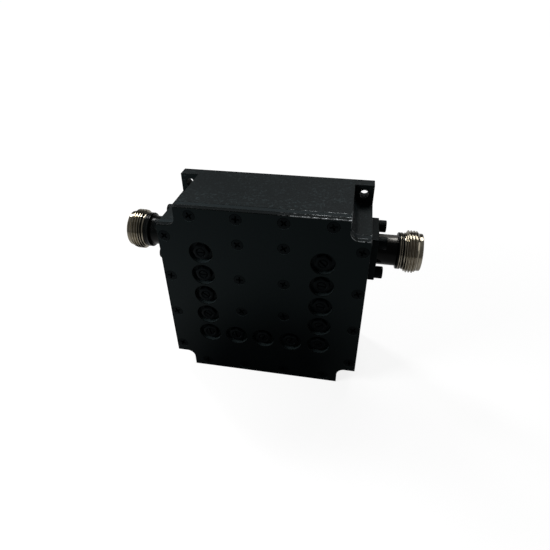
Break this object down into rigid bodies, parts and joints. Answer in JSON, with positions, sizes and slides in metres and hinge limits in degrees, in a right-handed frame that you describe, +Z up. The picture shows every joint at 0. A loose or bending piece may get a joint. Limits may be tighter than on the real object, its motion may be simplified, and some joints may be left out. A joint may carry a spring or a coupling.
{
  "type": "rf bandpass filter",
  "caption": "Black milled cavity bandpass filter with corner mounting ears, a flat screwed cover over a U-shaped chain of tuning screws, and a flanged female coaxial jack on each side.",
  "frame": {"origin": "middle of the bottom face", "axes": "+X towards the right-hand jack as the cover is seen, +Y from the cover towards the rear face, +Z up"},
  "size_m": [0.1144, 0.0336, 0.077],
  "materials": {
    "housing_paint": "black powder paint on milled aluminium, cavities silver plated",
    "lid_paint": "black powder paint on aluminium plate",
    "cover_paint": "satin black paint on aluminium plate",
    "black_screw": "black oxide steel",
    "silver_plate": "silver plated metal",
    "zinc_screw": "zinc plated steel",
    "tuner_steel": "blackened steel",
    "black_nut": "black oxide steel",
    "jack_nickel": "bright nickel plated brass, flange and neck painted black",
    "white_insulator": "white fluoropolymer",
    "contact_gold": "gold plated bronze",
    "tap_wire": "silver plated copper wire"
  },
  "bodies": {
    "root": {"housing": "housing_paint", "tuning_lid": "lid_paint", "cover": "cover_paint", "cover_screws": "black_screw", "resonator_1": "silver_plate", "resonator_2": "silver_plate", "resonator_3": "silver_plate", "resonator_4": "silver_plate", "resonator_5": "silver_plate", "resonator_6": "silver_plate", "resonator_7": "silver_plate", "resonator_screws": "zinc_screw", "tuning_screws": "tuner_steel", "coupling_screws": "tuner_steel", "lock_nuts": "black_nut", "left_jack_shell": "jack_nickel", "left_insulator": "white_insulator", "left_centre_contact": "contact_gold", "left_flange_screws": "black_screw", "left_tap_wire": "tap_wire", "right_jack_shell": "jack_nickel", "right_insulator": "white_insulator", "right_centre_contact": "contact_gold", "right_flange_screws": "black_screw", "right_tap_wire": "tap_wire"}
  },
  "joints": []
}
